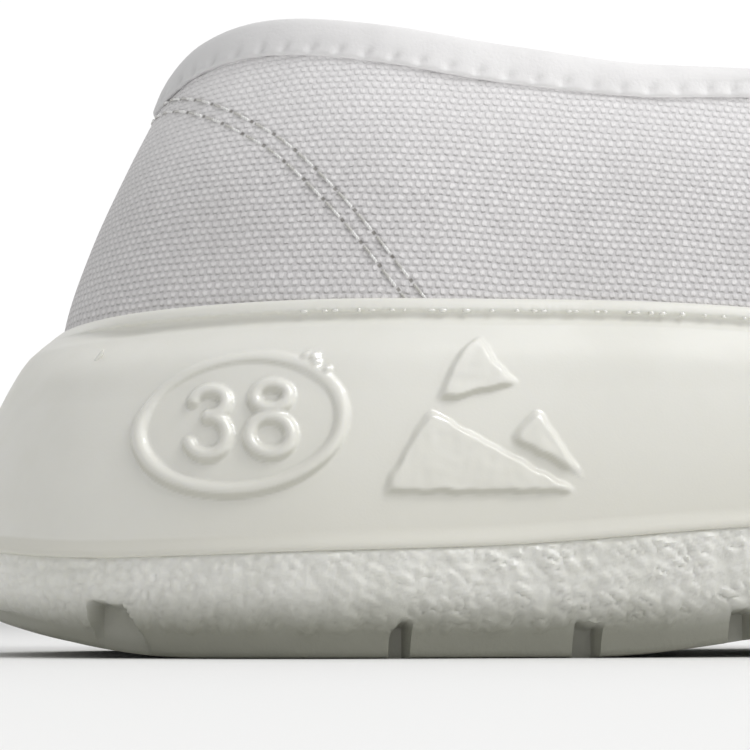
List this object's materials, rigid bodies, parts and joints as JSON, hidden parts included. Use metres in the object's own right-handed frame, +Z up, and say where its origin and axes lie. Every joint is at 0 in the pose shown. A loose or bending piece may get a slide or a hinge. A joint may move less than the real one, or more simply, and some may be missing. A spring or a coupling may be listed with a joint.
{
  "type": "anti-static work shoe",
  "caption": "Low slip-on anti-static work shoe: hollow canvas upper with a taped collar, a flat insole and a one-piece moulded sole with a tall flared side wall, side ledge and lugged tread.",
  "frame": {"origin": "on the ground, under the middle of the shoe's outside box", "axes": "+X from heel to toe, +Y to the inner side of the foot, +Z up"},
  "size_m": [0.2628, 0.0944, 0.0748],
  "materials": {
    "sole": "smooth off-white moulded wall, pebbled lower band",
    "upper": "plain-woven white canvas",
    "collar_binding": "smooth white woven tape",
    "insole": "fabric-faced foam"
  },
  "bodies": {
    "root": {"sole": "sole", "upper": "upper", "collar_binding": "collar_binding", "insole": "insole"}
  },
  "joints": []
}
